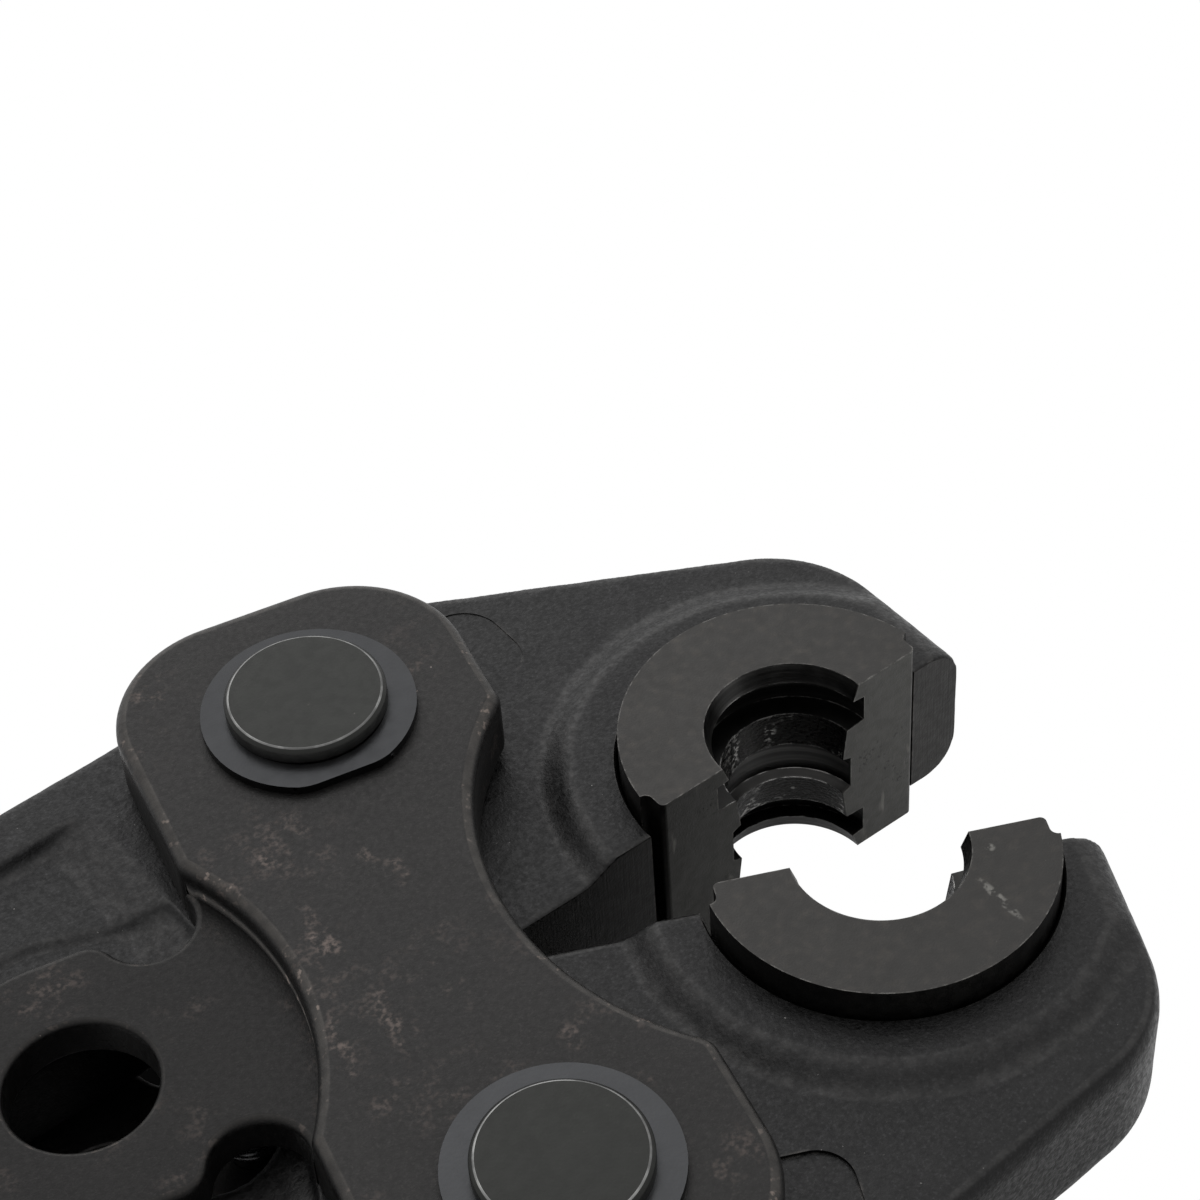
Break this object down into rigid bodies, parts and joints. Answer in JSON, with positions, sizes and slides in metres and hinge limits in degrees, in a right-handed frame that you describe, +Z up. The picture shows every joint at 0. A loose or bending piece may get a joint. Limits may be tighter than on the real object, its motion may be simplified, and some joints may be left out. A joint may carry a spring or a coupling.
{
  "type": "press fitting tool jaw",
  "caption": "Press tool jaw: two forged arms pivot between waisted side plates with a pierced stem; each arm holds a grooved half-round crimping die.",
  "frame": {"origin": "bottom centre of the bounding box, on the surface that the pivot pins' ends rest on", "axes": "+X along the jaw from the tool's stem to the dies, +Y towards the left arm, +Z up through the pivot pins"},
  "size_m": [0.1284, 0.0974, 0.0355],
  "materials": {
    "forged_steel": "black oxide over a forged surface, satin",
    "plate_steel": "black oxide, worn at the edges, with fine rust specks",
    "die_steel": "turned and blackened, oily in the bore",
    "pin_steel": "blackened, smooth, with a bright worn rim",
    "washer_steel": "blued sheet steel",
    "spring_steel": "oiled spring wire"
  },
  "bodies": {
    "frame": {"top_side_plate": "plate_steel", "bottom_side_plate": "plate_steel", "left_pivot_pin": "pin_steel", "right_pivot_pin": "pin_steel", "left_top_washer": "washer_steel", "left_bottom_washer": "washer_steel", "right_top_washer": "washer_steel", "right_bottom_washer": "washer_steel", "left_circlip": "washer_steel", "right_circlip": "washer_steel", "spring_post": "pin_steel", "opening_spring": "spring_steel"},
    "left_jaw_half": {"left_arm": "forged_steel", "left_die": "die_steel", "left_detent_sleeve": "pin_steel", "left_detent_spring": "spring_steel", "left_detent_ball": "spring_steel"},
    "right_jaw_half": {"right_arm": "forged_steel", "right_die": "die_steel", "right_detent_sleeve": "pin_steel", "right_detent_spring": "spring_steel", "right_detent_ball": "spring_steel"}
  },
  "joints": [
    {"name": "left_arm_close", "type": "hinge", "parent": "frame", "child": "left_jaw_half", "pos_m": [0.00091, 0.03, 0.01775], "axis": [0, 0, -1], "range_deg": [0, 12.7], "stiffness_Nm_per_rad": 1, "springref_deg": -17.19, "deforming": ["opening_spring"]},
    {"name": "right_arm_close", "type": "hinge", "parent": "frame", "child": "right_jaw_half", "pos_m": [0.00091, -0.03, 0.01775], "axis": [0, 0, 1], "range_deg": [0, 12.7], "stiffness_Nm_per_rad": 1, "springref_deg": -17.19}
  ]
}
